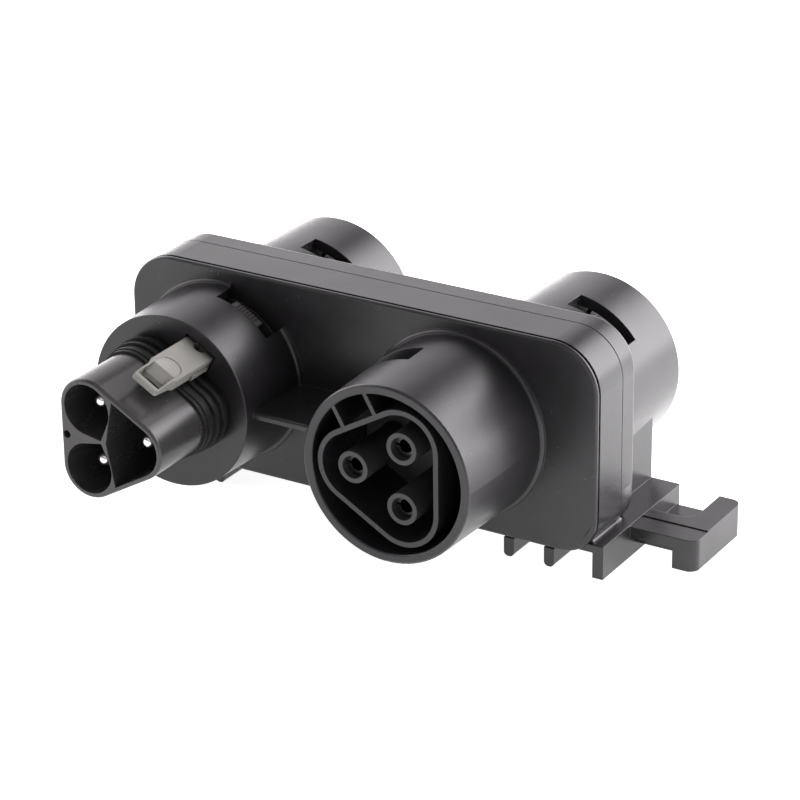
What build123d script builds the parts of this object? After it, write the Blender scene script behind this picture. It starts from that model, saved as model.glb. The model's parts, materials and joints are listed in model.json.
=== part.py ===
"""Three-pole power distribution block: one plug inlet and three socket outlets on one slab housing.

Millimetres. +X runs along the slab, -Y is the front (plug inlet and one socket), +Z is up.
The origin is on the plane that the mounting ribs stand on, at the middle of the whole outline.
"""
from build123d import *
from math import cos, radians, sin, sqrt
import os

os.makedirs("parts", exist_ok=True)

# Slab housing
slab_length = 97.0
slab_margin = 2.65
slab_corner = 9.0
slab_wall = 2.0
slab_lift = 4.0
front_face_y = -7.5
cover_edge = 0.65
cover_plate = 2.6
cover_rounding = 0.45
gasket_gap = 0.6
gasket_inset = 0.55
gasket_width = 1.2
seam_y = 1.9
seam_relief = 0.12
seam_width = 0.2
rear_draft = 1.0
rear_face_y = 6.9
rear_plate = 2.4
rear_datum_y = 7.5
barrel_sink = 1.0
rear_rounding = 0.8
spigot_clearance = 0.1
spigot_wall = 1.4
spigot_depth = 2.2

# Connector pattern
pole_radius = 6.5
pole_rise = pole_radius * sqrt(3) / 2
inlet_x = -28.9
front_socket_x = 20.7
rear_socket_x = 28.2
barrel_length = 24.4
barrel_root = 17.1
barrel_rim = 16.5
barrel_bore = 14.75
rim_rounding = 0.4
root_fillet = 0.7

# Socket insides
ring_corner = 7.15
ring_wall = 0.95
ring_setback = 0.15
key_angle = 120
key_half_width = 3.65
key_wall = 0.8
key_start = 13.4
window_half_angle = 22.5
window_near = 7.2
window_far = 12.6
carrier_clearance = 0.15
carrier_height = 10.0
carrier_flange = 1.6
carrier_flange_lip = 0.7
tube_radius = 2.95
tube_bore = 2.1
tube_setback = 0.1
sleeve_clearance = 0.08
sleeve_bore = 1.3
sleeve_setback = 1.6
sleeve_length = 13.2
sleeve_slot = 0.35
sleeve_slot_length = 8.0
sleeve_floor = 1.2
tail_radius = 1.1

# Inlet drum and plug
drum_length = 16.85
drum_root = 16.9
drum_rim = 16.4
drum_bore = 14.75
drum_rounding = 0.15
drum_face = 2.0
drum_hole_clearance = 0.1
drum_window_half_angle = 21.0
drum_window_length = 5.0
plug_corner = 5.7
plug_length = 37.5
plug_wall = 0.8
plug_rounding = 0.5
chamber_depth = 15.0
chamber_radius = 4.75
chamber_point_x = -0.55
chamber_point_z = 0.5
chamber_edge_x = 2.77
chamber_vertex_x = 0.6
chamber_point = 0.2
coding_hole = 0.75
coding_hole_x = -7.75
coding_depth = 4.0
pin_radius = 1.25
pin_tip = 33.8
pin_dome = 0.95
pin_flat = 0.3
pin_body_radius = 1.6
pin_body_end = 22.5
seal_near = 15.9
seal_front = 24.4
seal_wall = 0.45
seal_lip = 0.75
seal_lips = (0.65, 0.95, 1.15)
seal_first = 0.9
seal_pitch = 2.0
insert_flange = 1.0
insert_flange_lip = 0.8
insert_clearance = 0.15

# Locking latch, in distances out from the slab face (v) and out from the plug axis (w)
latch_angle = 60
latch_half_width = 3.1
latch_nose_half_width = 2.7
latch_tip = 33.2
latch_top = 13.7
latch_under = 11.2
latch_tip_top = 13.1
latch_corner = 0.5
latch_taper = 27.9
latch_taper_length = 0.9
latch_end_wall = 1.1
latch_rim = 0.4
latch_ramp_start = 27.6
latch_ramp_end = 30.2
latch_recess_floor = 12.4
latch_slot = 0.9
latch_slot_floor = 11.8
latch_mark = 26.6
latch_mark_radius = 2.45
latch_mark_depth = 0.08
latch_back = 14.2
latch_tail_top = 12.6
latch_tail_end = 2.3
latch_tail_under = 10.9
latch_notch = 1.2
latch_notch_floor = 12.4
latch_ledge = 0.35
latch_ledge_start = 17.6
latch_ledge_length = 5.0
latch_ledge_height = 1.0
latch_slot_clearance = 0.35
latch_slot_rise = 0.5
pad_radius = 15.95
pad_root = 12.0
pad_length = 2.2
pad_half_angle = 11.5
pad_ribs = 7
pad_rib_angle = 2.4
pad_groove = 0.3
pivot_v = 12.0
pivot_w = 11.1
pivot_pin_radius = 0.8
pivot_clearance = 0.08
pivot_boss = 1.65
cheek_gap = 0.35
cheek_wall = 1.1
cheek_length = 3.6
cheek_rise = 1.5
cheek_sink = 3.0
spring_v = 7.6
spring_radius = 1.15
spring_wire = 0.35
spring_turns = 3.5
spring_gap = 0.3
spring_lift = 0.02
spring_pocket = 0.3
spring_pocket_depth = 0.5

# Web between the front connectors
bridge_thickness = 1.2
bridge_depth = 14.9
bridge_rounding = 0.45
bridge_sink = 0.6

# Busbars
busbar_height = 3.2
busbar_thickness = 1.0
busbar_margin = 2.6
comb_wall = 1.6
comb_height = 18.0
comb_positions = (-6.0, 4.0)
comb_lead = 1.0
comb_clearance = 0.1

# Mounting base
base_front_y = -7.0
base_back_y = 22.7
deck_top = 6.35
deck_thickness = 1.5
flange_outer = 49.75
flange_thickness = 2.1
rib_thickness = 2.0
rib_positions = (30.9, 39.0)
rib_top = 5.0
rib_rounding = 0.85
slab_gap = 0.35
saddle_half = 15.8
saddle_wall = 2.0
saddle_top = 19.0

# Hook at the right end
arm_front_y = 3.2
arm_depth = 7.9
arm_top = 6.05
arm_thickness = 2.05
arm_groove_start = 0.6
arm_groove_width = 4.4
arm_groove_depth = 0.25
hook_inner = 58.1
hook_outer = 62.6
hook_back_y = 22.0
hook_corner = 1.9
hook_web_top = 2.75
hook_web_thickness = 1.5
hook_web_front_y = 7.0
hook_web_back_y = 21.6
hook_fillet = 2.6

slab_height = 2 * (barrel_root + slab_margin)
axis_z = slab_lift + slab_height / 2
slab_x = (flange_outer - hook_outer) / 2
slab_y = (plug_length - front_face_y - rear_datum_y - barrel_length) / 2
plate_back_y = front_face_y + cover_edge
frame_front_y = plate_back_y + gasket_gap
rear_depth = rear_datum_y - rear_face_y + rear_plate


def wall_plane(y):
    """Plane across the slab at a depth, looking in from the front."""
    return Plane(origin=(slab_x, slab_y + y, axis_z), x_dir=(1, 0, 0), z_dir=(0, -1, 0))


def level(z):
    """Horizontal plane at a height, in the slab's own X and Y."""
    return Plane(origin=(slab_x, slab_y, z), x_dir=(1, 0, 0), z_dir=(0, 0, 1))


def front_face(x):
    """Plane of a front connector: its axis points out of the front of the slab."""
    return Plane(origin=(slab_x + x, slab_y + front_face_y, axis_z), x_dir=(1, 0, 0), z_dir=(0, -1, 0))


def rear_face(x):
    """Plane of a rear connector: its axis points out of the back of the slab."""
    return Plane(origin=(slab_x + x, slab_y + rear_datum_y, axis_z), x_dir=(-1, 0, 0), z_dir=(0, 1, 0))


def section_of(face):
    """Plane through a connector's axis: local X is the radius, local Y is the distance out."""
    return Plane(origin=face.origin, x_dir=face.x_dir, z_dir=-face.y_dir)


def out(face, distance):
    """The connector's own plane, moved out along its axis."""
    return face.offset(distance)


def slab_outline(inset=0.0):
    """Rounded rectangle of the slab, set in by a margin all round."""
    with BuildSketch() as outline:
        RectangleRounded(slab_length - 2 * inset, slab_height - 2 * inset, slab_corner - inset)
    return outline.sketch


def three_pole(corner, start_angle):
    """Rounded triangle round the three poles: corner arcs are centred on the poles."""
    with BuildSketch() as shape:
        with PolarLocations(pole_radius, 3, start_angle):
            Circle(corner)
        make_hull()
    return shape.sketch


def pole_places(start_angle):
    """The three poles in a connector's own plane."""
    return PolarLocations(pole_radius, 3, start_angle)


def ring_sector(inner, outer, middle, half_angle):
    """Piece of a ring about the connector's axis, used for the windows."""
    with BuildSketch() as sector:
        with BuildLine():
            first = middle - half_angle
            last = middle + half_angle
            outer_arc = CenterArc((0, 0), outer, first, last - first)
            inner_arc = CenterArc((0, 0), inner, first, last - first)
            Line(inner_arc @ 0, outer_arc @ 0)
            Line(inner_arc @ 1, outer_arc @ 1)
        make_face()
    return sector.sketch


def barrel_section(length, root, rim, bore, base=0.0, rounding=rim_rounding):
    """Half section of a barrel: drafted outside, rounded rim and a fillet on the slab's face."""
    with BuildSketch() as section:
        with BuildLine():
            foot = root + root_fillet
            Polyline((foot, base), (foot, -barrel_sink), (bore, -barrel_sink), (bore, length), (rim, length))
            Line((rim, length), (root, base + root_fillet))
            RadiusArc((root, base + root_fillet), (foot, base), root_fillet)
        make_face()
        fillet(section.vertices().group_by(Axis.Y)[-1], rounding)
    return section.sketch


def socket_ring():
    """Triangular wall that takes the mating plug."""
    with BuildSketch() as ring:
        add(three_pole(ring_corner, 180))
        add(three_pole(ring_corner - ring_wall, 180), mode=Mode.SUBTRACT)
    return ring.sketch


def key_walls():
    """Two thin walls from the triangular ring to the barrel, one each side of the latch pocket."""
    inner_reach = pole_radius / 2 + ring_corner - ring_wall / 2
    outer_reach = sqrt(barrel_bore**2 - key_half_width**2) + 0.4
    with BuildSketch() as walls:
        with Locations(Location((0, 0, 0), (0, 0, key_angle))):
            with Locations(((inner_reach + outer_reach) / 2, key_half_width)):
                Rectangle(outer_reach - inner_reach, key_wall)
            with Locations(((inner_reach + outer_reach) / 2, -key_half_width)):
                Rectangle(outer_reach - inner_reach, key_wall)
    return walls.sketch


socket_faces = {
    "front": front_face(front_socket_x),
    "rear_left": rear_face(-rear_socket_x),
    "rear_right": rear_face(rear_socket_x),
}
inlet = front_face(inlet_x)

latch_direction = Vector(cos(radians(latch_angle)), 0, sin(radians(latch_angle)))
latch_side = Vector(-sin(radians(latch_angle)), 0, cos(radians(latch_angle)))


def latch_profile_plane(side_offset):
    """Plane across the latch: local X is distance out from the slab, local Y distance from the axis."""
    start = inlet.origin + latch_side * side_offset
    return Plane(origin=start, x_dir=inlet.z_dir, z_dir=inlet.z_dir.cross(latch_direction))


def latch_plan_plane(rise):
    """Plane along the latch: local X is distance out from the slab, local Y is across it."""
    start = inlet.origin + latch_direction * rise
    return Plane(origin=start, x_dir=inlet.z_dir, z_dir=latch_direction)


ring_sketch = socket_ring()
key_sketch = key_walls()
window_sketch = ring_sector(barrel_bore - 1.5, barrel_root + 1, key_angle, window_half_angle)
opening_sketch = three_pole(ring_corner - ring_wall, 180)
carrier_sketch = three_pole(ring_corner - ring_wall - carrier_clearance, 180)
carrier_flange_sketch = three_pole(ring_corner - ring_wall + carrier_flange_lip, 180)
carrier_seat_sketch = three_pole(
    ring_corner - ring_wall + carrier_flange_lip + carrier_clearance, 180
)


# Front cover: plate, inlet drum, socket barrel and the web between them
with BuildPart() as front_cover:
    with BuildSketch(wall_plane(plate_back_y)):
        add(slab_outline())
    extrude(amount=cover_edge)
    fillet(front_cover.edges().group_by(Axis.Y)[0], cover_rounding)
    with BuildSketch(wall_plane(plate_back_y)):
        add(slab_outline(slab_wall + spigot_clearance))
    extrude(amount=-(cover_plate - cover_edge))
    with BuildSketch(wall_plane(front_face_y + cover_plate)):
        add(slab_outline(slab_wall + spigot_clearance))
        add(slab_outline(slab_wall + spigot_clearance + spigot_wall), mode=Mode.SUBTRACT)
    extrude(amount=-spigot_depth)

    socket = socket_faces["front"]
    with BuildSketch(section_of(socket)):
        add(barrel_section(barrel_length, barrel_root, barrel_rim, barrel_bore))
    revolve(axis=Axis(socket.origin, socket.z_dir))
    with BuildSketch(section_of(inlet)):
        add(barrel_section(drum_length, drum_root, drum_rim, drum_bore, rounding=drum_rounding))
    revolve(axis=Axis(inlet.origin, inlet.z_dir))
    with BuildSketch(out(inlet, drum_length)):
        Circle(drum_bore + 2 * drum_rounding)
    extrude(amount=-drum_face)

    web_inner = inlet_x + drum_rim - bridge_sink
    web_outer = front_socket_x - barrel_rim + bridge_sink
    web_start = (slab_x + web_inner, slab_y + front_face_y, axis_z)
    with BuildSketch(Plane(origin=web_start, x_dir=(0, -1, 0), z_dir=(1, 0, 0))) as web_section:
        with Locations(((bridge_depth - cover_edge) / 2, 0)):
            Rectangle(bridge_depth + cover_edge, bridge_thickness)
        fillet(web_section.vertices().group_by(Axis.Y)[0], bridge_rounding)
    extrude(amount=web_outer - web_inner)

    with BuildSketch(out(socket, -cover_plate)):
        add(ring_sketch)
    extrude(amount=cover_plate + barrel_length - ring_setback)
    with BuildSketch(out(socket, key_start)):
        add(key_sketch)
    extrude(amount=barrel_length - key_start - ring_setback)
    with BuildSketch(out(socket, window_near)):
        add(window_sketch)
    extrude(amount=window_far - window_near, mode=Mode.SUBTRACT)
    with BuildSketch(out(socket, -cover_plate - spigot_depth)):
        add(opening_sketch)
    extrude(amount=cover_plate + spigot_depth + barrel_length, mode=Mode.SUBTRACT)
    with BuildSketch(out(socket, -cover_plate)):
        add(carrier_seat_sketch)
    extrude(amount=carrier_flange, mode=Mode.SUBTRACT)

    with BuildSketch(out(inlet, 0)):
        add(ring_sector(drum_bore - 1, drum_root + root_fillet + 1, latch_angle, drum_window_half_angle))
    extrude(amount=drum_window_length, mode=Mode.SUBTRACT)
    with BuildSketch(out(inlet, -cover_plate)):
        Circle(drum_bore)
    extrude(amount=cover_plate, mode=Mode.SUBTRACT)
    with BuildSketch(out(inlet, drum_length - drum_face)):
        add(three_pole(plug_corner + seal_wall + drum_hole_clearance, 0))
    extrude(amount=drum_face, mode=Mode.SUBTRACT)
    with BuildSketch(latch_profile_plane(-latch_half_width - latch_slot_clearance)):
        with Locations((drum_length - drum_face / 2, (latch_top + latch_slot_rise) / 2)):
            Rectangle(2 * drum_face, latch_top + latch_slot_rise)
    extrude(amount=2 * (latch_half_width + latch_slot_clearance), mode=Mode.SUBTRACT)
front_cover.part.label = "front_cover"
export_step(front_cover.part, "parts/front_cover.step")


# Gasket in the groove between the front cover and the frame
with BuildPart() as cover_gasket:
    with BuildSketch(wall_plane(frame_front_y)):
        add(slab_outline(gasket_inset))
        add(slab_outline(gasket_inset + gasket_width), mode=Mode.SUBTRACT)
    extrude(amount=gasket_gap)
cover_gasket.part.label = "cover_gasket"
export_step(cover_gasket.part, "parts/cover_gasket.step")


# Main housing: slab frame, back wall with two socket barrels, mounting base and end hook
with BuildPart() as main_housing:
    with BuildSketch(wall_plane(seam_y)):
        add(slab_outline())
    extrude(amount=seam_y - frame_front_y)
    with BuildSketch(wall_plane(seam_y)):
        add(slab_outline())
    extrude(amount=-(rear_face_y - seam_y), taper=rear_draft)
    fillet(main_housing.edges().group_by(Axis.Y)[-1], rear_rounding)
    with BuildSketch(wall_plane(seam_y + seam_width / 2)):
        add(slab_outline())
        add(slab_outline(seam_relief), mode=Mode.SUBTRACT)
    extrude(amount=seam_width, mode=Mode.SUBTRACT)

    # Mounting base: deck, end flanges and the ribs that it stands on
    base_depth = base_back_y - base_front_y
    base_middle = (base_back_y + base_front_y) / 2
    with BuildSketch(level(deck_top - deck_thickness)):
        with Locations((0, base_middle)):
            Rectangle(2 * flange_outer, base_depth)
    extrude(amount=deck_thickness)
    for side in (-1, 1):
        with BuildSketch(level(0)):
            with Locations((side * (flange_outer - flange_thickness / 2), base_middle)):
                Rectangle(flange_thickness, base_depth)
        extrude(amount=deck_top)
        for place in rib_positions:
            with BuildSketch(wall_plane(base_front_y)):
                with BuildLine():
                    left = side * place - rib_thickness / 2
                    right = side * place + rib_thickness / 2
                    foot = rib_rounding - axis_z
                    ground = -axis_z
                    top = rib_top - axis_z
                    Line((left, foot), (left, top))
                    Line((left, top), (right, top))
                    Line((right, top), (right, foot))
                    RadiusArc((right, foot), (right - rib_rounding, ground), rib_rounding)
                    Line((right - rib_rounding, ground), (left + rib_rounding, ground))
                    RadiusArc((left + rib_rounding, ground), (left, foot), rib_rounding)
                make_face()
            extrude(amount=-base_depth)

    # Saddles that carry the rear barrels on the deck
    for name in ("rear_left", "rear_right"):
        socket = socket_faces[name]
        with BuildSketch(out(socket, 0)):
            with Locations((0, (saddle_top + deck_top) / 2 - axis_z)):
                Rectangle(2 * saddle_half, saddle_top - deck_top + 0.4)
                Rectangle(
                    2 * (saddle_half - saddle_wall), saddle_top - deck_top + 1, mode=Mode.SUBTRACT
                )
                Rectangle(saddle_wall, saddle_top - deck_top + 0.4)
        extrude(amount=base_back_y - rear_datum_y)
        with BuildSketch(out(socket, 0)):
            with Locations((0, (saddle_top + deck_top) / 2 - axis_z)):
                Rectangle(2 * saddle_half, saddle_top - deck_top + 0.4)
        extrude(amount=-(rear_datum_y - rear_face_y + 0.5))
        with BuildSketch(section_of(socket)):
            add(barrel_section(barrel_length, barrel_root, barrel_rim, barrel_bore, rear_face_y - rear_datum_y))
        revolve(axis=Axis(socket.origin, socket.z_dir))
        with BuildSketch(out(socket, 0)):
            Circle(barrel_bore)
        extrude(amount=barrel_length, mode=Mode.SUBTRACT)

    # Cavity for the busbars, and the step round the cover and its gasket
    with BuildSketch(wall_plane(frame_front_y)):
        add(slab_outline(slab_wall))
    extrude(amount=-(rear_face_y - rear_plate - frame_front_y), mode=Mode.SUBTRACT)
    with BuildSketch(wall_plane(frame_front_y)):
        add(slab_outline(-slab_gap))
    extrude(amount=frame_front_y - base_front_y + 1, mode=Mode.SUBTRACT)

    # Combs that hold the busbars apart
    for place in comb_positions:
        with BuildSketch(wall_plane(rear_face_y - rear_plate)):
            with Locations((place, 0)):
                Rectangle(comb_wall, comb_height)
        extrude(amount=rear_face_y - rear_plate + busbar_thickness / 2 + comb_lead)
        for pole in (-1, 0, 1):
            with BuildSketch(wall_plane(busbar_thickness / 2 + comb_clearance)):
                with Locations((place, pole * pole_rise)):
                    Rectangle(comb_wall + 1, busbar_height + 2 * comb_clearance)
            extrude(amount=busbar_thickness + comb_lead + 1, mode=Mode.SUBTRACT)

    # Rear socket insides
    for name in ("rear_left", "rear_right"):
        socket = socket_faces[name]
        with BuildSketch(out(socket, -rear_depth)):
            add(ring_sketch)
        extrude(amount=rear_depth + barrel_length - ring_setback)
        with BuildSketch(out(socket, key_start)):
            add(key_sketch)
        extrude(amount=barrel_length - key_start - ring_setback)
        with BuildSketch(out(socket, window_near)):
            add(window_sketch)
        extrude(amount=window_far - window_near, mode=Mode.SUBTRACT)
        with BuildSketch(out(socket, -rear_depth)):
            add(opening_sketch)
        extrude(amount=rear_depth + barrel_length, mode=Mode.SUBTRACT)
        with BuildSketch(out(socket, -rear_depth)):
            add(carrier_seat_sketch)
        extrude(amount=carrier_flange, mode=Mode.SUBTRACT)

    # Hook at the right end: arm, bar and the thin web between them
    with BuildSketch(level(arm_top - arm_thickness)):
        with BuildLine():
            arm_back_y = arm_front_y + arm_depth
            Polyline(
                (flange_outer - 0.5, arm_front_y),
                (hook_inner + 0.5, arm_front_y),
                (hook_inner + 0.5, arm_back_y + hook_fillet),
                (hook_inner, arm_back_y + hook_fillet),
            )
            RadiusArc(
                (hook_inner, arm_back_y + hook_fillet), (hook_inner - hook_fillet, arm_back_y), hook_fillet
            )
            Polyline(
                (hook_inner - hook_fillet, arm_back_y),
                (flange_outer - 0.5, arm_back_y),
                (flange_outer - 0.5, arm_front_y),
            )
        make_face()
    extrude(amount=arm_thickness)
    groove_y = arm_front_y + arm_groove_start
    with BuildSketch(level(arm_top)):
        with Locations(((flange_outer + hook_inner) / 2, groove_y + arm_groove_width / 2)):
            Rectangle(hook_inner - flange_outer, arm_groove_width)
    extrude(amount=-arm_groove_depth, mode=Mode.SUBTRACT)
    with BuildSketch(level(0)):
        with BuildLine():
            Polyline(
                (hook_inner, arm_front_y),
                (hook_outer - hook_corner, arm_front_y),
            )
            RadiusArc(
                (hook_outer - hook_corner, arm_front_y), (hook_outer, arm_front_y + hook_corner), -hook_corner
            )
            Line((hook_outer, arm_front_y + hook_corner), (hook_outer, hook_back_y - hook_corner))
            RadiusArc(
                (hook_outer, hook_back_y - hook_corner), (hook_outer - hook_corner, hook_back_y), -hook_corner
            )
            Polyline(
                (hook_outer - hook_corner, hook_back_y),
                (hook_inner, hook_back_y),
                (hook_inner, arm_front_y),
            )
        make_face()
    extrude(amount=arm_top)
    with BuildSketch(level(hook_web_top - hook_web_thickness)):
        with Locations(((flange_outer + hook_inner) / 2, (hook_web_front_y + hook_web_back_y) / 2)):
            Rectangle(hook_inner - flange_outer + 1, hook_web_back_y - hook_web_front_y)
    extrude(amount=hook_web_thickness)
main_housing.part.label = "main_housing"
export_step(main_housing.part, "parts/main_housing.step")


# Plug insert: round flange in the drum's root, stem, hinge cheeks and three contact chambers
with BuildSketch() as chamber_limit:
    add(three_pole(plug_corner - plug_wall, 0))
with BuildSketch() as chamber_sketch:
    for side in (-1, 1):
        with BuildSketch(mode=Mode.PRIVATE) as lobe:
            with Locations((-pole_radius / 2, side * pole_rise)):
                Circle(chamber_radius)
            with Locations((chamber_point_x, side * chamber_point_z)):
                Circle(chamber_point)
            make_hull()
        add(lobe.sketch & chamber_limit.sketch)
    with BuildSketch(mode=Mode.PRIVATE) as half:
        with BuildLine():
            Polyline(
                (chamber_edge_x, plug_corner + pole_rise),
                (chamber_vertex_x, 0),
                (chamber_edge_x, -plug_corner - pole_rise),
                (plug_corner + pole_radius, -plug_corner - pole_rise),
                (plug_corner + pole_radius, plug_corner + pole_rise),
                close=True,
            )
        make_face()
    add(half.sketch & chamber_limit.sketch)

with BuildPart() as plug_insert:
    with BuildSketch(out(inlet, -cover_plate)):
        add(three_pole(plug_corner, 0))
    extrude(amount=plug_length + cover_plate)
    fillet(plug_insert.edges().group_by(Axis.Y)[0], plug_rounding)
    with BuildSketch(out(inlet, -cover_plate)):
        Circle(drum_bore - insert_clearance)
    extrude(amount=cover_plate)
    with BuildSketch(out(inlet, -cover_plate)):
        Circle(drum_bore + insert_flange_lip)
    extrude(amount=-insert_flange)
    with BuildSketch(out(inlet, plug_length - chamber_depth)):
        add(chamber_sketch.sketch)
    extrude(amount=chamber_depth, mode=Mode.SUBTRACT)
    with BuildSketch(out(inlet, plug_length - coding_depth)):
        with Locations((coding_hole_x, 0)):
            Circle(coding_hole)
    extrude(amount=coding_depth, mode=Mode.SUBTRACT)
    with BuildSketch(out(inlet, -cover_plate - insert_flange)):
        with pole_places(0):
            Circle(pin_body_radius)
    extrude(amount=plug_length, mode=Mode.SUBTRACT)
    for side in (-1, 1):
        with BuildSketch(latch_profile_plane(side * (latch_half_width + cheek_gap))):
            with Locations((pivot_v, pivot_w + (cheek_rise - cheek_sink) / 2)):
                Rectangle(cheek_length, cheek_rise + cheek_sink)
            with Locations((pivot_v, pivot_w)):
                Circle(pivot_pin_radius, mode=Mode.SUBTRACT)
        extrude(amount=side * cheek_wall)
plug_insert.part.label = "plug_insert"
export_step(plug_insert.part, "parts/plug_insert.step")


# Seal round the plug: thin sleeve that starts in the drum's face, with three lips
with BuildPart() as plug_seal:
    with BuildSketch(out(inlet, seal_near)):
        add(three_pole(plug_corner + seal_wall, 0))
    extrude(amount=seal_front - seal_near)
    for index, lip in enumerate(seal_lips):
        with BuildSketch(out(inlet, seal_front - seal_first - index * seal_pitch)):
            add(three_pole(plug_corner + lip, 0))
        extrude(amount=-seal_lip)
    with BuildSketch(out(inlet, 0)):
        add(three_pole(plug_corner, 0))
    extrude(amount=plug_length, mode=Mode.SUBTRACT)
plug_seal.part.label = "plug_seal"
export_step(plug_seal.part, "parts/plug_seal.step")


# Locking latch: a rocker with a framed nose and a ribbed pad in the drum's window
with BuildPart() as latch:
    with BuildSketch(latch_profile_plane(-latch_half_width)) as latch_side_view:
        with BuildLine():
            Polyline(
                (latch_tip, latch_under),
                (latch_tip, latch_tip_top),
                (latch_taper, latch_top),
                (latch_back, latch_top),
                (latch_back, latch_tail_top),
                (latch_tail_end, latch_tail_top),
                (latch_tail_end, latch_tail_under),
                (latch_back, latch_tail_under),
                (drum_length, latch_under),
                close=True,
            )
        make_face()
        with Locations((pivot_v, pivot_w)):
            Circle(pivot_boss)
    extrude(amount=2 * latch_half_width)
    with BuildSketch(latch_plan_plane(0)):
        with BuildLine():
            Polyline(
                (latch_tail_end, latch_half_width),
                (latch_taper, latch_half_width),
                (latch_taper + latch_taper_length, latch_nose_half_width),
                (latch_tip - latch_corner, latch_nose_half_width),
            )
            RadiusArc(
                (latch_tip - latch_corner, latch_nose_half_width),
                (latch_tip, latch_nose_half_width - latch_corner),
                latch_corner,
            )
            Line(
                (latch_tip, latch_nose_half_width - latch_corner),
                (latch_tip, latch_corner - latch_nose_half_width),
            )
            RadiusArc(
                (latch_tip, latch_corner - latch_nose_half_width),
                (latch_tip - latch_corner, -latch_nose_half_width),
                latch_corner,
            )
            Polyline(
                (latch_tip - latch_corner, -latch_nose_half_width),
                (latch_taper + latch_taper_length, -latch_nose_half_width),
                (latch_taper, -latch_half_width),
                (latch_tail_end, -latch_half_width),
                (latch_tail_end, latch_half_width),
            )
        make_face()
    extrude(amount=2 * latch_top, mode=Mode.INTERSECT)
    with BuildSketch(latch_profile_plane(latch_rim - latch_nose_half_width)):
        with BuildLine():
            Polyline(
                (latch_ramp_start, latch_top + 1),
                (latch_ramp_start, latch_top),
                (latch_ramp_end, latch_recess_floor),
                (latch_tip - latch_end_wall, latch_recess_floor),
                (latch_tip - latch_end_wall, latch_top + 1),
                close=True,
            )
        make_face()
    extrude(amount=2 * (latch_nose_half_width - latch_rim), mode=Mode.SUBTRACT)
    with BuildSketch(latch_plan_plane(latch_slot_floor)):
        with Locations((latch_tip - latch_end_wall - latch_slot / 2, 0)):
            Rectangle(latch_slot, 2 * (latch_nose_half_width - latch_rim))
    extrude(amount=latch_top - latch_slot_floor, mode=Mode.SUBTRACT)
    with BuildSketch(latch_plan_plane(latch_notch_floor)):
        with Locations((drum_length, 0)):
            Circle(latch_notch)
    extrude(amount=latch_top - latch_notch_floor, mode=Mode.SUBTRACT)
    with BuildSketch(latch_plan_plane(latch_top)):
        with Locations((latch_mark, 0)):
            Circle(latch_mark_radius)
    extrude(amount=-latch_mark_depth, mode=Mode.SUBTRACT)
    with BuildSketch(latch_plan_plane(latch_under)):
        with Locations((latch_ledge_start + latch_ledge_length / 2, 0)):
            Rectangle(latch_ledge_length, 2 * (latch_half_width + latch_ledge))
    extrude(amount=latch_ledge_height)
    with BuildSketch(out(inlet, latch_tail_end)):
        add(ring_sector(pad_root, pad_radius, latch_angle, pad_half_angle))
        for index in range(pad_ribs):
            with Locations(Location((0, 0, 0), (0, 0, latch_angle + (index - pad_ribs // 2) * pad_rib_angle))):
                with Locations((pad_radius, 0)):
                    Rectangle(pad_groove, pad_groove, mode=Mode.SUBTRACT)
    extrude(amount=pad_length)
    with BuildSketch(latch_profile_plane(-latch_half_width)):
        with Locations((pivot_v, pivot_w)):
            Circle(pivot_pin_radius + pivot_clearance)
    extrude(amount=2 * latch_half_width, mode=Mode.SUBTRACT)
    with BuildSketch(latch_plan_plane(latch_tail_under)):
        with Locations((spring_v, 0)):
            Circle(spring_radius + spring_pocket)
    extrude(amount=spring_pocket_depth, mode=Mode.SUBTRACT)
latch.part.label = "latch"
export_step(latch.part, "parts/latch.step")


# Hinge pin of the latch
with BuildPart() as latch_pin:
    with BuildSketch(latch_profile_plane(-latch_half_width - cheek_gap - cheek_wall)):
        with Locations((pivot_v, pivot_w)):
            Circle(pivot_pin_radius)
    extrude(amount=2 * (latch_half_width + cheek_gap + cheek_wall))
latch_pin.part.label = "latch_pin"
export_step(latch_pin.part, "parts/latch_pin.step")


# Return spring under the pad end of the latch
spring_foot = pole_radius / 2 + plug_corner
spring_height = latch_tail_under + spring_pocket_depth - spring_gap - spring_foot
with BuildPart() as latch_spring:
    coil_start = spring_foot + spring_wire / 2 + spring_lift
    with BuildLine() as coil:
        Helix(
            pitch=(spring_height - spring_wire) / spring_turns,
            height=spring_height - spring_wire,
            radius=spring_radius,
            center=inlet.origin + inlet.z_dir * spring_v + latch_direction * coil_start,
            direction=latch_direction,
        )
    with BuildSketch(Plane(origin=coil.line @ 0, z_dir=coil.line % 0)):
        Circle(spring_wire / 2)
    sweep(path=coil.line, is_frenet=True)
latch_spring.part.label = "latch_spring"
export_step(latch_spring.part, "parts/latch_spring.step")


# Contact pins of the inlet: domed pin, thicker body in the stem, thinner tail to the busbar
def pin_point(face, index, start_angle):
    """Where a pole's axis meets a connector's own plane."""
    angle = radians(start_angle + 120 * index)
    return face.origin + face.x_dir * (pole_radius * cos(angle)) + face.y_dir * (pole_radius * sin(angle))


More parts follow.
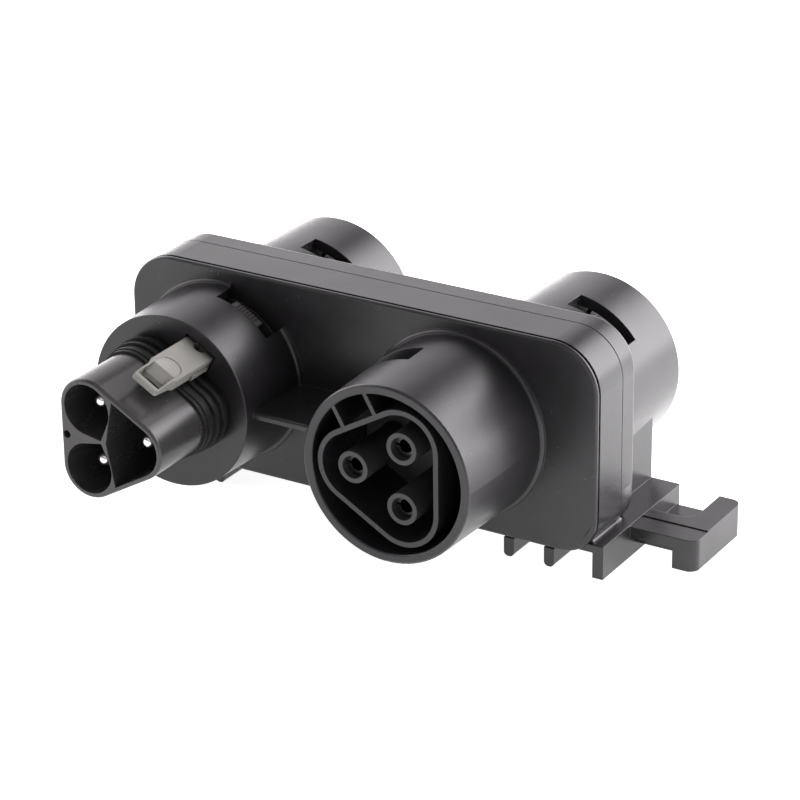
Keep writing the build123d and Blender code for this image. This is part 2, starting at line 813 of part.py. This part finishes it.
for index, pole in enumerate(("line", "neutral", "earth")):
    pin_axis = Plane(origin=pin_point(inlet, index, 0), x_dir=inlet.x_dir, z_dir=inlet.z_dir)
    reach = -front_face_y - busbar_thickness / 2
    body_start = -cover_plate - insert_flange
    with BuildPart() as contact_pin:
        with BuildSketch(section_of(pin_axis)):
            with BuildLine():
                Polyline(
                    (0, -reach),
                    (tail_radius, -reach),
                    (tail_radius, body_start),
                    (pin_body_radius, body_start),
                    (pin_body_radius, pin_body_end),
                    (pin_radius, pin_body_end),
                    (pin_radius, pin_tip - pin_dome),
                )
                RadiusArc((pin_radius, pin_tip - pin_dome), (pin_flat, pin_tip), -pin_dome)
                Polyline((pin_flat, pin_tip), (0, pin_tip), (0, -reach))
            make_face()
        revolve(axis=Axis(pin_axis.origin, pin_axis.z_dir))
    contact_pin.part.label = "contact_pin_" + pole
    export_step(contact_pin.part, "parts/contact_pin_" + pole + ".step")


# Contact carriers: flange, block and three tubes inside each socket's triangular wall
bore_floor = barrel_length - tube_setback - sleeve_setback - sleeve_length
for name in ("front", "rear_left", "rear_right"):
    socket = socket_faces[name]
    plate = cover_plate if name == "front" else rear_depth
    with BuildPart() as carrier:
        with BuildSketch(out(socket, -plate)):
            add(carrier_flange_sketch)
        extrude(amount=carrier_flange - carrier_clearance)
        with BuildSketch(out(socket, -plate)):
            add(carrier_sketch)
        extrude(amount=plate + carrier_height)
        with BuildSketch(out(socket, carrier_height)):
            with pole_places(180):
                Circle(tube_radius)
        extrude(amount=barrel_length - tube_setback - carrier_height)
        with BuildSketch(out(socket, bore_floor)):
            with pole_places(180):
                Circle(tube_bore)
        extrude(amount=barrel_length, mode=Mode.SUBTRACT)
        with BuildSketch(out(socket, -plate)):
            with pole_places(180):
                Circle(tail_radius)
        extrude(amount=barrel_length, mode=Mode.SUBTRACT)
    carrier.part.label = "contact_carrier_" + name
    export_step(carrier.part, "parts/contact_carrier_" + name + ".step")

    # Contact sleeves: split spring sleeve for the mating pin, then a tail to the busbar
    depth = -front_face_y if name == "front" else rear_datum_y
    for index, pole in enumerate(("line", "neutral", "earth")):
        if name == "front":
            place = pin_point(socket, index, 180)
        else:
            place = pin_point(socket, -index, 180)
        sleeve_axis = Plane(origin=place, x_dir=socket.x_dir, z_dir=socket.z_dir)
        sleeve_top = bore_floor + sleeve_length
        with BuildPart() as contact_sleeve:
            with BuildSketch(out(sleeve_axis, -depth + busbar_thickness / 2)):
                Circle(tail_radius)
            extrude(amount=depth - busbar_thickness / 2 + bore_floor)
            with BuildSketch(out(sleeve_axis, bore_floor)):
                Circle(tube_bore - sleeve_clearance)
            extrude(amount=sleeve_length)
            with BuildSketch(out(sleeve_axis, bore_floor + sleeve_floor)):
                Circle(sleeve_bore)
            extrude(amount=sleeve_length, mode=Mode.SUBTRACT)
            with BuildSketch(out(sleeve_axis, sleeve_top - sleeve_slot_length)):
                Rectangle(2 * tube_bore + 1, sleeve_slot)
            extrude(amount=sleeve_slot_length + 1, mode=Mode.SUBTRACT)
        contact_sleeve.part.label = "contact_sleeve_" + name + "_" + pole
        export_step(contact_sleeve.part, "parts/contact_sleeve_" + name + "_" + pole + ".step")


# Busbars: one flat strip for each pole across all four connectors
busbar_ends = {
    "line": (inlet_x + pole_radius, rear_socket_x + pole_radius, 0),
    "neutral": (inlet_x - pole_radius / 2, rear_socket_x - pole_radius / 2, pole_rise),
    "earth": (inlet_x - pole_radius / 2, rear_socket_x - pole_radius / 2, -pole_rise),
}
for pole, (first, last, rise) in busbar_ends.items():
    with BuildPart() as busbar:
        with BuildSketch(wall_plane(busbar_thickness / 2)):
            with Locations(((first + last) / 2, rise)):
                RectangleRounded(last - first + 2 * busbar_margin, busbar_height, busbar_height / 2 - 0.1)
        extrude(amount=busbar_thickness)
    busbar.part.label = "busbar_" + pole
    export_step(busbar.part, "parts/busbar_" + pole + ".step")
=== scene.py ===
"""Looks of the distribution block: materials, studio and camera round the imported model. Metres."""
import json
from math import cos, radians, sin

import bmesh
import bpy
from mathutils import Matrix, Vector


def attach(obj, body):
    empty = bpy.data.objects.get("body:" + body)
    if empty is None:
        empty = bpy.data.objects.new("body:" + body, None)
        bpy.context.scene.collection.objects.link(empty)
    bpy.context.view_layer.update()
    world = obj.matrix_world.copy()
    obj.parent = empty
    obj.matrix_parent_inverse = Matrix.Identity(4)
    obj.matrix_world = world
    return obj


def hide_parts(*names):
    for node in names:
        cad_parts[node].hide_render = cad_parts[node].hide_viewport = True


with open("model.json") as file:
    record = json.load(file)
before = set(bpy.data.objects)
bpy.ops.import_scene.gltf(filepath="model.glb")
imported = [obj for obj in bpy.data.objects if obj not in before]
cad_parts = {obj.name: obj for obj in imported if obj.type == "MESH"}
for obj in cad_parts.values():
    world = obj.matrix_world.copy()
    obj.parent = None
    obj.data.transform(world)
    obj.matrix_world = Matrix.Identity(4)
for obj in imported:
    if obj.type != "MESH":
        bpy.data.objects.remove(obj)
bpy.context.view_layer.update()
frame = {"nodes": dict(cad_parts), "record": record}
nodes = frame["nodes"]

MM = 0.001

# Meshes: distance in metres under which points are one, and the angles in degrees that stay smooth
WELD = 0.000002
SMOOTH_ANGLE = 30
BEAD_SMOOTH_ANGLE = 40
CUT_SMOOTH_ANGLE = 6

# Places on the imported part, mm: slab centre, and the plug inlet's axis on the slab's front face
SLAB = Vector((-6.425, 6.55, 23.75))
INLET = SLAB + Vector((-28.9, -7.5, 0))
LATCH_ANGLE = 60

# Deck, arm and hook, mm: heights from the ground, the rest from the slab's centre
DECK_TOP = 6.35
ARM_TOP = 6.05
ARM_START_X = 49.75
HOOK_INNER_X = 58.1
HOOK_OUTER_X = 62.6
HOOK_BACK_Y = 22.0
ARM_BACK_Y = 11.1
HOOK_FILLET = 2.6
HOOK_CORNER = 1.9

# Latch nose and notch, mm: distances out from the slab's front face and away from the plug's axis
NOSE_TIP = 33.2
NOSE_WALL = 0.8
NOSE_SLOT = 2.4
NOSE_SLOT_HALF = 2.4
NOSE_RISE_START = 27.9
NOSE_UNDER = 11.2
NOSE_TIP_UNDER = 12.05
NOTCH_V = 14.2
NOTCH_RADIUS = 1.25
NOTCH_FLOOR = 10.5

# Reach of the latch's cutters, mm: nearest and farthest from the plug's axis, half-width, past the nose's tip
CUT_BELOW = 10
CUT_ABOVE = 14
CUT_HALF_WIDTH = 4
CUT_PAST_TIP = 0.3

# Slab's outline, with its own corner radius and the tighter one that its lower corners show, mm
SLAB_HALF_LENGTH = 48.5
SLAB_HALF_HEIGHT = 19.75
SLAB_CORNER = 9.0
LOW_CORNER = 7.0

# Corner pieces, mm: how far their hidden side lies in the slab, runs past its arc and sinks under its faces
CORNER_STEPS = 12
CORNER_CORE = 4
CORNER_BACK = 3
CORNER_OVERRUN = 1.5
CORNER_SINK = 0.04

# Edges of the cover and of the band, mm: y from the slab's centre, inset, and y shift of the hidden side
COVER_EDGE = ((-7.5, 0.45, 0.05), (-7.44, 0.2), (-7.3, 0.08), (-7.06, 0), (-6.85, 0))
BAND_FRONT_EDGE = ((-6.25, 0), (1.9, 0), (1.93, 0.1), (2.07, 0.1), (2.1, 0))
BAND_BACK_EDGE = ((6.1, 0.07), (6.5, 0.2), (6.8, 0.5), (6.9, 0.87, -0.05))

# Raised land on the arm and hook, and the filling of the source's groove, which ends just under the top, mm
LAND_FRONT_Y = 8.15
LAND_HEIGHT = 0.15
LAND_SINK = 0.02
RECESS_FRONT_Y = 3.8
RECESS_DEPTH = 0.25
RECESS_FLOOR_DROP = 0.01

# Bead on the deck beside the slab's right corner, mm: its axis, and its radius from front to back
BEAD_X = 47.05
BEAD_LIFT = 0.1
BEAD_RADII = ((-6.4, 0.5), (2.1, 0.5), (2.4, 0.68), (3.7, 0.68), (4.2, 0.6), (4.5, 0.4), (4.6, 0.15))

# Camera: where the photograph was taken from
CAMERA_PLACE = Vector((278.15, -452.57, 262.64)) * MM
CAMERA_AZIMUTH = 31.39
CAMERA_ELEVATION = 24.12
CAMERA_ROLL = -0.76
CAMERA_LENS = 146.9
SENSOR_WIDTH = 36.0
CLIP_START = 0.01
CLIP_END = 20

# Sockets of the Mix node that carry colours
MIX_FACTOR = 0
MIX_FIRST = 6
MIX_SECOND = 7
MIX_RESULT = 2

# Noises of the surfaces: cells a metre, detail, roughness and stretch along the axes
CLOUD = (90, 4, 0.6)
SPECKS = (1500, 1, 0.4)
RUB = (260, 5, 0.65, (1, 0.3, 1))
GRAIN = (5200, 2, 0.5)
WAVES = (45, 2, 0.4)
BLOOM = (420, 4, 0.6)
RUBBER_GRAIN = (3800, 2)
METAL_MARKS = (2600, 3, 0.6)

# Part of a noise's range in which a look changes
CLOUD_SPAN = (0.35, 0.7)
SPECK_SPAN = (0.77, 0.8)
RUB_SPAN = (0.3, 0.75)
BLOOM_SPAN = (0.45, 0.8)

# Plastics, rubbers and metals: heights of the bumps and edge rounding in metres, then dust, sheen and bloom
WAVE_HEIGHT = 0.00025
GRAIN_HEIGHT = 0.00002
FINER_GRAIN_HEIGHT = 0.000012
RUBBER_GRAIN_HEIGHT = 0.00002
METAL_MARK_HEIGHT = 0.000006
EDGE_RADIUS = 0.00022
EDGE_SAMPLES = 6
DUST = (0.12, 0.12, 0.12)
DUST_AMOUNT = 0.5
PLASTIC_IOR = 1.5
RUBBER_SHEEN = 0.25
BLOOM_GAIN = 2.2
BLOOM_LIFT = 0.004
RUBBER_ROUGH_LESS = 0.1
RUBBER_ROUGH_MORE = 0.12
METAL_ROUGH_LOW = 0.7
METAL_ROUGH_HIGH = 1.3

# Latch, metres where a length: painted shade on its pad, from one place backwards, and painted shade in its
# recesses
PAD_FRONT_Y = -0.0075
PAD_BLUR = 0.0005
PAD_SHADE = (0.05, 0.049, 0.046)
PAD_SHADE_AMOUNT = 0.65
RECESS_SHADE = (0.018, 0.018, 0.016)
RECESS_SHADE_AMOUNT = 0.95
RECESS_SPAN = (0.35, 0.9)
RECESS_REACH = 0.0016
RECESS_SAMPLES = 8

# Plastics: dark and light colour, lowest and highest roughness, height of the grain
PLASTICS = {
    "cover_black": ((0.011, 0.01, 0.011), (0.016, 0.015, 0.017), 0.27, 0.35, GRAIN_HEIGHT),
    "housing_black": ((0.013, 0.012, 0.013), (0.02, 0.019, 0.021), 0.2, 0.28, GRAIN_HEIGHT),
    "plug_black": ((0.032, 0.031, 0.031), (0.04, 0.039, 0.039), 0.24, 0.29, FINER_GRAIN_HEIGHT),
    "carrier_black": ((0.022, 0.022, 0.022), (0.03, 0.03, 0.03), 0.4, 0.5, GRAIN_HEIGHT),
    "latch_grey": ((0.185, 0.184, 0.168), (0.235, 0.233, 0.213), 0.36, 0.52, GRAIN_HEIGHT),
}

# Rubbers: colour and roughness
RUBBERS = {
    "gasket_black": ((0.006, 0.006, 0.006), 0.62),
    "seal_black": ((0.007, 0.007, 0.007), 0.55),
}

# Metals: dark and light colour, roughness, and the stretch of the marks along the axes
ALONG_Y = (1, 0.05, 1)
ALONG_X = (0.05, 1, 1)
METALS = {
    "spring_steel": ((0.4, 0.4, 0.41), (0.62, 0.62, 0.62), 0.28, ALONG_Y),
    "tinned_contact": ((0.72, 0.71, 0.68), (0.9, 0.89, 0.87), 0.2, ALONG_Y),
    # Sleeves: a dark copy of the contact metal, painted shade for their deep tubes
    "shaded_sleeve_metal": ((0.05, 0.05, 0.048), (0.1, 0.1, 0.095), 0.34, ALONG_Y),
    "busbar_brass": ((0.55, 0.38, 0.16), (0.75, 0.56, 0.27), 0.3, ALONG_X),
}

# Studio: floor in metres, its glow near the camera and behind the block
FLOOR_SIZE = 8.0
FLOOR_GAP = 0.0002
FLOOR_COLOUR = (0.8, 0.8, 0.8, 1)
FLOOR_ROUGHNESS = 0.9
FLOOR_LIGHT_COLOUR = (1, 1, 1, 1)
FLOOR_LIGHT_FROM = (0.45, 0.89, 0)
FLOOR_LIGHT_SPAN = (-0.05, 0.2)
FLOOR_GLOW = (0.8, 2.1)

# Room: its colour, how soft its bright panels are, and each panel's azimuth, elevation and strength
ROOM_COLOUR = (1, 0.965, 0.995, 1)
GLOW_SPAN = (0.6, 0.97)
ROOM_GLOWS = {
    "right_backdrop": (45, 12, 6.6),
    "left_panel": (180, 12, 3.2),
    "left_backdrop": (135, 12, 1.5),
    "front_ceiling": (290, 45, 0.8),
}


def add_camera():
    """Camera turned by azimuth, elevation and roll, looking a little down at the block."""
    a, e, r = radians(CAMERA_AZIMUTH), radians(CAMERA_ELEVATION), radians(CAMERA_ROLL)
    forward = Vector((-sin(a) * cos(e), cos(a) * cos(e), -sin(e)))
    level_right = Vector((cos(a), sin(a), 0))
    level_up = level_right.cross(forward)
    right = level_right * cos(r) + level_up * sin(r)
    up = right.cross(forward)
    data = bpy.data.cameras.new("photo_camera")
    data.lens = CAMERA_LENS
    data.sensor_width = SENSOR_WIDTH
    data.clip_start = CLIP_START
    data.clip_end = CLIP_END
    camera = bpy.data.objects.new("photo_camera", data)
    bpy.context.scene.collection.objects.link(camera)
    turn = Matrix((right, up, -forward)).transposed()
    camera.matrix_world = Matrix.Translation(CAMERA_PLACE) @ turn.to_4x4()
    bpy.context.scene.camera = camera
    bpy.context.scene.view_settings.view_transform = "Standard"


class Shader:
    """A material with short calls for adding and joining its nodes."""

    def __init__(self, name):
        self.open(bpy.data.materials.new(name))

    @classmethod
    def of(cls, material):
        """Opens a finished material again, to add to it."""
        shader = cls.__new__(cls)
        shader.open(material)
        return shader

    def open(self, material):
        """Takes hold of a material's nodes, and adds one for the place on the object."""
        self.material = material
        self.material.use_nodes = True
        self.tree = self.material.node_tree
        self.surface = self.tree.nodes["Principled BSDF"]
        self.place = self.add("ShaderNodeTexCoord").outputs["Object"]

    def add(self, kind, **values):
        """Adds a node and sets its inputs or settings by name."""
        node = self.tree.nodes.new(kind)
        for key, value in values.items():
            if key in node.inputs:
                node.inputs[key].default_value = value
            else:
                setattr(node, key, value)
        return node

    def join(self, source, target):
        """Links an output to an input."""
        self.tree.links.new(source, target)

    def set(self, **values):
        """Sets plain values on the surface."""
        for key, value in values.items():
            self.surface.inputs[key.replace("_", " ")].default_value = value

    def noise(self, scale, detail=3.0, roughness=0.5, stretch=(1, 1, 1)):
        """Noise of so many cells a metre, stretched along the axes."""
        mapping = self.add("ShaderNodeMapping")
        mapping.inputs["Scale"].default_value = stretch
        self.join(self.place, mapping.inputs["Vector"])
        noise = self.add("ShaderNodeTexNoise", Scale=scale, Detail=detail, Roughness=roughness)
        self.join(mapping.outputs["Vector"], noise.inputs["Vector"])
        return noise.outputs["Fac"]

    def ramp(self, source, low, high, start=0.0, end=1.0):
        """Turns a 0 to 1 value into a range of numbers."""
        node = self.add("ShaderNodeMapRange")
        node.inputs["From Min"].default_value = start
        node.inputs["From Max"].default_value = end
        node.inputs["To Min"].default_value = low
        node.inputs["To Max"].default_value = high
        self.join(source, node.inputs["Value"])
        return node.outputs["Result"]

    def mix(self, factor, first, second):
        """Mixes a colour, plain or from another node, with a plain one."""
        node = self.add("ShaderNodeMix", data_type="RGBA")
        self.join(factor, node.inputs[MIX_FACTOR])
        if isinstance(first, bpy.types.NodeSocket):
            self.join(first, node.inputs[MIX_FIRST])
        else:
            node.inputs[MIX_FIRST].default_value = (*first, 1)
        node.inputs[MIX_SECOND].default_value = (*second, 1)
        return node.outputs[MIX_RESULT]

    def rounded_edges(self):
        """Normal that rounds sharp edges for shading, so that they catch the light as moulded ones do."""
        return self.add("ShaderNodeBevel", samples=EDGE_SAMPLES, Radius=EDGE_RADIUS).outputs["Normal"]

    def bump(self, height, distance, normal=None):
        """Normal of a bumpy surface, so many metres high, on top of another normal."""
        node = self.add("ShaderNodeBump", Strength=1.0, Distance=distance)
        self.join(height, node.inputs["Height"])
        if normal:
            self.join(normal, node.inputs["Normal"])
        return node.outputs["Normal"]


def moulded_plastic(name):
    """Satin moulded plastic: fine spark-eroded grain, slight flow marks, rub marks and a few specks."""
    dark, light, rough_low, rough_high, grain_height = PLASTICS[name]
    s = Shader(name)
    cloud = s.ramp(s.noise(*CLOUD), 0, 1, *CLOUD_SPAN)
    body = s.mix(cloud, dark, light)
    dust = s.ramp(s.noise(*SPECKS), 0, DUST_AMOUNT, *SPECK_SPAN)
    s.join(s.mix(dust, body, DUST), s.surface.inputs["Base Color"])
    rub = s.ramp(s.noise(*RUB), rough_low, rough_high, *RUB_SPAN)
    s.join(rub, s.surface.inputs["Roughness"])
    fine = s.noise(*GRAIN)
    broad = s.noise(*WAVES)
    waved = s.bump(broad, WAVE_HEIGHT, s.rounded_edges())
    s.join(s.bump(fine, grain_height, waved), s.surface.inputs["Normal"])
    s.set(IOR=PLASTIC_IOR)
    return s.material


def latch_plastic():
    """Grey moulded plastic of the latch, with painted shade on its pad and painted shade in its recesses."""
    material = moulded_plastic("latch_grey")
    s = Shader.of(material)
    unshaded = s.surface.inputs["Base Color"].links[0].from_socket
    along = s.add("ShaderNodeSeparateXYZ")
    s.join(s.place, along.inputs[0])
    # Painted shade: the pad is darkened backwards from one place, as though in shadow
    pad_shade_mask = s.ramp(along.outputs["Y"], 0, PAD_SHADE_AMOUNT, PAD_FRONT_Y - PAD_BLUR, PAD_FRONT_Y + PAD_BLUR)
    pad_shaded = s.mix(pad_shade_mask, unshaded, PAD_SHADE)
    # Painted shade: ambient occlusion darkens the latch's recesses, slot and notch
    open_sky = s.add("ShaderNodeAmbientOcclusion", samples=RECESS_SAMPLES, Distance=RECESS_REACH)
    recess = s.ramp(open_sky.outputs["AO"], RECESS_SHADE_AMOUNT, 0, *RECESS_SPAN)
    s.join(s.mix(recess, pad_shaded, RECESS_SHADE), s.surface.inputs["Base Color"])
    return material


def soft_rubber(name):
    """Dull moulded rubber with a fine bloom."""
    colour, rough = RUBBERS[name]
    s = Shader(name)
    cloud = s.noise(*BLOOM)
    lighter = tuple(c * BLOOM_GAIN + BLOOM_LIFT for c in colour)
    bloom = s.ramp(cloud, 0, 1, *BLOOM_SPAN)
    s.join(s.mix(bloom, colour, lighter), s.surface.inputs["Base Color"])
    s.join(s.ramp(cloud, rough - RUBBER_ROUGH_LESS, rough + RUBBER_ROUGH_MORE), s.surface.inputs["Roughness"])
    s.join(s.bump(s.noise(*RUBBER_GRAIN), RUBBER_GRAIN_HEIGHT), s.surface.inputs["Normal"])
    s.set(Specular_IOR_Level=RUBBER_SHEEN)
    return s.material


def plated_metal(name):
    """Plated or drawn metal with fine marks along its length."""
    dark, light, rough, stretch = METALS[name]
    s = Shader(name)
    marks = s.noise(*METAL_MARKS, stretch)
    s.join(s.mix(marks, dark, light), s.surface.inputs["Base Color"])
    s.join(s.ramp(marks, rough * METAL_ROUGH_LOW, rough * METAL_ROUGH_HIGH), s.surface.inputs["Roughness"])
    s.join(s.bump(marks, METAL_MARK_HEIGHT), s.surface.inputs["Normal"])
    s.set(Metallic=1.0)
    return s.material


def smooth(data, angle):
    """Shades a mesh smooth apart from edges sharper than an angle in degrees."""
    data.shade_smooth()
    data.set_sharp_from_angle(angle=radians(angle))


def new_piece(name, mesh, smooth_angle=SMOOTH_ANGLE):
    """Makes an object of a bmesh, smooth apart from its sharp edges."""
    bmesh.ops.recalc_face_normals(mesh, faces=mesh.faces)
    data = bpy.data.meshes.new(name)
    mesh.to_mesh(data)
    mesh.free()
    smooth(data, smooth_angle)
    piece = bpy.data.objects.new(name, data)
    bpy.context.scene.collection.objects.link(piece)
    return piece


def loft(name, sections, smooth_angle=SMOOTH_ANGLE):
    """Solid through closed sections, each a list of as many points in metres."""
    mesh = bmesh.new()
    rings = [[mesh.verts.new(point) for point in section] for section in sections]
    for first, second in zip(rings, rings[1:]):
        for i in range(len(first)):
            j = (i + 1) % len(first)
            mesh.faces.new((first[i], first[j], second[j], second[i]))
    mesh.faces.new(rings[0])
    mesh.faces.new(rings[-1])
    return new_piece(name, mesh, smooth_angle)


def prism(name, outline, place, low, high):
    """Solid between two levels of one outline; place turns (across, along, level) in mm into a point."""
    return loft(name, [[place(a, b, level) for a, b in outline] for level in (low, high)])


def arc(centre, radius, start, end, steps=8):
    """Points of a circular arc, angles in degrees."""
    turns = [radians(start + (end - start) * i / steps) for i in range(steps + 1)]
    return [(centre[0] + radius * cos(t), centre[1] + radius * sin(t)) for t in turns]


def circle(centre, radius):
    """Points of a circle, 15 degrees apart."""
    return arc(centre, radius, 0, 345, 23)


def latch_point(u, v, w):
    """Point near the latch: u across it, v out from the front face, w away from the plug's axis."""
    a = radians(LATCH_ANGLE)
    return (INLET + Vector((w * cos(a) - u * sin(a), -v, w * sin(a) + u * cos(a)))) * MM


def latch_side_point(v, w, u):
    """The same point for an outline that is drawn in the latch's side view."""
    return latch_point(u, v, w)


def cut(piece, cutters):
    """Takes the cutters out of a piece and smooths what is left."""
    for cutter in cutters:
        step = piece.modifiers.new("cut", "BOOLEAN")
        step.operation = "DIFFERENCE"
        step.solver = "EXACT"
        step.object = cutter
    shown = piece.evaluated_get(bpy.context.evaluated_depsgraph_get())
    data = bpy.data.meshes.new_from_object(shown)
    piece.modifiers.clear()
    piece.data = data
    for cutter in cutters:
        bpy.data.objects.remove(cutter)
    smooth(data, CUT_SMOOTH_ANGLE)


def add_latch(look):
    """The latch with its nose slot open right through and the nose's underside rising to its tip."""
    mesh = bmesh.new()
    mesh.from_mesh(nodes["latch"].data)
    bmesh.ops.remove_doubles(mesh, verts=mesh.verts, dist=WELD)
    piece = new_piece("latch_shown", mesh)
    wall = NOSE_TIP - NOSE_WALL
    back = wall - NOSE_SLOT
    end = NOSE_TIP + CUT_PAST_TIP
    slot = [(back, CUT_BELOW), (wall, CUT_BELOW), (wall, CUT_ABOVE), (back, CUT_ABOVE)]
    start = NOSE_RISE_START
    rise = [(start, NOSE_UNDER), (end, NOSE_TIP_UNDER), (end, CUT_BELOW), (start, CUT_BELOW)]
    notch = circle((0, NOTCH_V), NOTCH_RADIUS)
    cut(piece, [
        prism("slot", slot, latch_side_point, -NOSE_SLOT_HALF, NOSE_SLOT_HALF),
        prism("rise", rise, latch_side_point, -CUT_HALF_WIDTH, CUT_HALF_WIDTH),
        prism("notch", notch, latch_point, NOTCH_FLOOR, CUT_ABOVE),
    ])
    piece.data.materials.clear()
    piece.data.materials.append(look)
    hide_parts("latch")
    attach(piece, "latch_body")


def base_point(x, y, z):
    """Point on the base: x and y from the slab's centre, z up from the ground."""
    return Vector((SLAB.x + x, SLAB.y + y, z)) * MM


def add_base_details(look):
    """Raised land behind the arm's shallow recess, and the bead on the deck at the slab's right corner."""
    inner = arc((HOOK_INNER_X - HOOK_FILLET, ARM_BACK_Y + HOOK_FILLET), HOOK_FILLET, -90, 0)
    corner = arc((HOOK_OUTER_X - HOOK_CORNER, HOOK_BACK_Y - HOOK_CORNER), HOOK_CORNER, 90, 0)
    land = [(ARM_START_X, LAND_FRONT_Y), (ARM_START_X, ARM_BACK_Y)] + inner + [(HOOK_INNER_X, HOOK_BACK_Y)]
    land += corner + [(HOOK_OUTER_X, LAND_FRONT_Y)]
    recess = [(ARM_START_X, RECESS_FRONT_Y), (HOOK_INNER_X, RECESS_FRONT_Y)]
    recess += [(HOOK_INNER_X, LAND_FRONT_Y), (ARM_START_X, LAND_FRONT_Y)]
    pieces = [
        prism("arm_land", land, base_point, ARM_TOP - LAND_SINK, ARM_TOP + LAND_HEIGHT),
        prism("arm_recess_floor", recess, base_point, ARM_TOP - RECESS_DEPTH, ARM_TOP - RECESS_FLOOR_DROP),
    ]
    sections = []
    for y, radius in BEAD_RADII:
        ring = circle((BEAD_X, DECK_TOP + BEAD_LIFT), radius)
        sections.append([base_point(x, y, z) for x, z in ring])
    pieces.append(loft("deck_bead", sections, BEAD_SMOOTH_ANGLE))
    for piece in pieces:
        piece.data.materials.append(look)
        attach(piece, "housing")


def corner_section(side, y, inset, sink=0):
    """Outline of a slab corner at one depth. Only its tight outer arc shows; the rest lies in the slab."""
    x, z = SLAB_HALF_LENGTH, -SLAB_HALF_HEIGHT
    reach = SLAB_CORNER + CORNER_OVERRUN
    sunk = inset + CORNER_SINK
    inner = [(x - CORNER_CORE, z + CORNER_CORE), (x - CORNER_BACK, z + reach), (x - sunk, z + reach)]
    outer = [(x - inset, z + SLAB_CORNER)]
    outer += arc((x - LOW_CORNER, z + LOW_CORNER), LOW_CORNER - inset, 0, -90, CORNER_STEPS)
    outer += [(x - SLAB_CORNER, z + inset)]
    last = [(x - reach, z + sunk), (x - reach, z + CORNER_BACK)]
    points = [(a, y + sink, b) for a, b in inner] + [(a, y, b) for a, b in outer]
    points += [(a, y + sink, b) for a, b in last]
    return [(SLAB + Vector((side * a, b, c))) * MM for a, b, c in points]


def add_slab_corners(cover_look, housing_look):
    """The slab's two lower corners, which are tighter than the upper ones, on the cover and on the band."""
    for side, label in ((1, "right"), (-1, "left")):
        for name, depths, look, slot in (
            ("cover_corner_", COVER_EDGE, cover_look, "cover_black"),
            ("band_corner_", BAND_FRONT_EDGE + BAND_BACK_EDGE, housing_look, "housing_black"),
        ):
            piece = loft(name + label, [corner_section(side, *depth) for depth in depths])
            piece.data.materials.append(look)
            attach(piece, "housing")


def paint_nodes():
    """Gives every CAD node its material, and returns the materials. The sleeves get a dark copy of the
    contact metal, painted shade for their deep tubes.
    """
    looks = {name: moulded_plastic(name) for name in PLASTICS if name != "latch_grey"}
    looks |= {name: soft_rubber(name) for name in RUBBERS}
    looks["latch_grey"] = latch_plastic()
    looks |= {name: plated_metal(name) for name in METALS}
    for part in frame["record"]["subparts"]:
        node = nodes[part["node"]]
        node.data.materials.clear()
        # Sleeves take the dark metal, painted shade for their deep tubes
        look = "shaded_sleeve_metal" if "sleeve" in part["node"] else part["material_slot"]
        node.data.materials.append(looks[look])
    return looks


def glow_by_direction(tree, vector, along, glow, span):
    """Strength that rises smoothly, over a span, as a vector turns or moves along a direction."""
    dot = tree.nodes.new("ShaderNodeVectorMath")
    dot.operation = "DOT_PRODUCT"
    dot.inputs[1].default_value = along
    tree.links.new(vector, dot.inputs[0])
    rise = tree.nodes.new("ShaderNodeMapRange")
    rise.interpolation_type = "SMOOTHSTEP"
    for key, value in zip(("From Min", "From Max", "To Min", "To Max"), (*span, *glow)):
        rise.inputs[key].default_value = value
    tree.links.new(dot.outputs["Value"], rise.inputs["Value"])
    return rise.outputs["Result"]


def add_floor():
    """Pale table top: overexposed, and brightest behind the block where the backdrop light falls."""
    bpy.ops.mesh.primitive_plane_add(size=FLOOR_SIZE, location=(0, 0, -FLOOR_GAP))
    floor = bpy.context.object
    floor.name = "floor"
    s = Shader("floor")
    s.set(Roughness=FLOOR_ROUGHNESS, Base_Color=FLOOR_COLOUR, Emission_Color=FLOOR_LIGHT_COLOUR)
    glow = glow_by_direction(s.tree, s.place, FLOOR_LIGHT_FROM, FLOOR_GLOW, FLOOR_LIGHT_SPAN)
    s.join(glow, s.surface.inputs["Emission Strength"])
    floor.data.materials.append(s.material)


def add_studio():
    """Pale floor, and a dim room with a few soft bright panels."""
    add_floor()
    world = bpy.data.worlds.new("studio")
    bpy.context.scene.world = world
    world.use_nodes = True
    tree = world.node_tree
    background = tree.nodes["Background"]
    background.inputs["Color"].default_value = ROOM_COLOUR
    direction = tree.nodes.new("ShaderNodeTexCoord").outputs["Generated"]
    total = None
    for azimuth, elevation, strength in ROOM_GLOWS.values():
        a, e = radians(azimuth), radians(elevation)
        towards = (cos(a) * cos(e), sin(a) * cos(e), sin(e))
        glow = glow_by_direction(tree, direction, towards, (0, strength), GLOW_SPAN)
        if total:
            both = tree.nodes.new("ShaderNodeMath")
            both.operation = "ADD"
            tree.links.new(total, both.inputs[0])
            tree.links.new(glow, both.inputs[1])
            glow = both.outputs["Value"]
        total = glow
    tree.links.new(total, background.inputs["Strength"])


looks = paint_nodes()
add_latch(looks["latch_grey"])
add_base_details(looks["housing_black"])
add_slab_corners(looks["cover_black"], looks["housing_black"])
add_studio()
add_camera()
